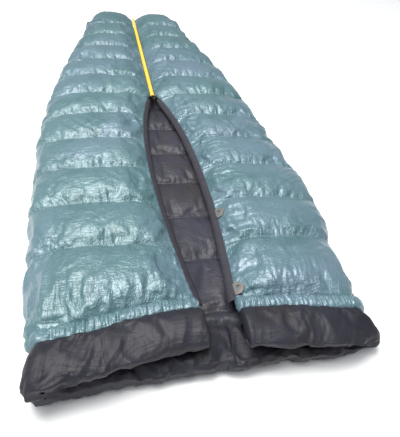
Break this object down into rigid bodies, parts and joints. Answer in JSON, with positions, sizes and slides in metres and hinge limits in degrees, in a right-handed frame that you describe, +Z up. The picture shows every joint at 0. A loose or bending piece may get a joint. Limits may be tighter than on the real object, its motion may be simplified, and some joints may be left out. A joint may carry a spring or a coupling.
{
  "type": "camp quilt",
  "caption": "Down camp quilt folded in from both long sides, zipped over the legs, with an open slit, a padded collar and flaps that fold out flat.",
  "frame": {"origin": "middle of the underside of the closed quilt", "axes": "+X to the right, +Y from the head edge to the foot edge, +Z up, with the zip side up"},
  "size_m": [0.7452, 2, 0.112],
  "materials": {
    "teal_shell": "shiny, crinkled thin nylon",
    "charcoal_lining": "satin nylon taffeta",
    "charcoal_binding": "matt woven tape",
    "white_down": "matt",
    "baffle_mesh": "matt mesh",
    "yellow_tape": "woven",
    "yellow_chain": "gloss",
    "black_metal": "satin",
    "grey_plastic": "matt",
    "grey_snap": "satin",
    "black_cord": "braided"
  },
  "bodies": {
    "back": {"back_shell": "teal_shell", "back_lining": "charcoal_lining", "back_down": "white_down", "back_baffles": "baffle_mesh", "back_collar_cover": "charcoal_lining", "back_collar_down": "white_down", "back_drawcord_tunnel": "teal_shell", "back_drawcord": "black_cord", "back_foot_hem": "charcoal_binding", "back_foot_elastic": "black_cord", "left_side_fold": "teal_shell", "right_side_fold": "teal_shell"},
    "left_flap": {"left_shell": "teal_shell", "left_lining": "charcoal_lining", "left_down": "white_down", "left_baffles": "baffle_mesh", "left_collar_cover": "charcoal_lining", "left_collar_down": "white_down", "left_drawcord_tunnel": "teal_shell", "left_drawcord": "black_cord", "left_foot_hem": "charcoal_binding", "left_foot_elastic": "black_cord", "left_edge_binding": "charcoal_binding", "left_zip_tape": "yellow_tape", "left_zip_chain": "yellow_chain", "left_zip_top_tack": "black_cord", "left_snap_cap": "grey_snap", "left_snap_socket": "grey_snap", "zip_pin": "yellow_chain"},
    "right_flap": {"right_shell": "teal_shell", "right_lining": "charcoal_lining", "right_down": "white_down", "right_baffles": "baffle_mesh", "right_collar_cover": "charcoal_lining", "right_collar_down": "white_down", "right_drawcord_tunnel": "teal_shell", "right_drawcord": "black_cord", "right_foot_hem": "charcoal_binding", "right_foot_elastic": "black_cord", "right_edge_binding": "charcoal_binding", "right_zip_tape": "yellow_tape", "right_zip_chain": "yellow_chain", "right_zip_top_tack": "black_cord", "right_snap_cap": "grey_snap", "right_snap_stud": "grey_snap", "zip_box": "yellow_chain"},
    "slider": {"zip_slider": "black_metal"},
    "pull": {"zip_pull": "black_metal"},
    "tab_head": {"pad_tab_head": "grey_plastic"},
    "tab_middle": {"pad_tab_middle": "grey_plastic"}
  },
  "joints": [
    {"name": "left_flap_fold", "type": "hinge", "parent": "back", "child": "left_flap", "pos_m": [-0.33, -1, 0.056], "axis": [-0.0574, -0.9984, 0], "range_deg": [0, 180], "deforming": ["left_side_fold"]},
    {"name": "right_flap_fold", "type": "hinge", "parent": "back", "child": "right_flap", "pos_m": [0.33, -1, 0.056], "axis": [-0.0574, 0.9984, 0], "range_deg": [0, 180], "deforming": ["right_side_fold"]},
    {"name": "zip_slide", "type": "slide", "parent": "right_flap", "child": "slider", "axis": [0, 1, 0], "range_m": [0, 0.9095]},
    {"name": "pull_swing", "type": "hinge", "parent": "slider", "child": "pull", "pos_m": [0, 0.0645, 0.0841], "axis": [-1, 0, 0], "range_deg": [0, 150]},
    {"name": "tab_head_lift", "type": "hinge", "parent": "right_flap", "child": "tab_head", "pos_m": [0.06476, -0.858, 0.0825], "axis": [0, -1, 0], "range_deg": [0, 110]},
    {"name": "tab_middle_lift", "type": "hinge", "parent": "right_flap", "child": "tab_middle", "pos_m": [0.08171, -0.613, 0.0825], "axis": [0, -1, 0], "range_deg": [0, 110]}
  ]
}
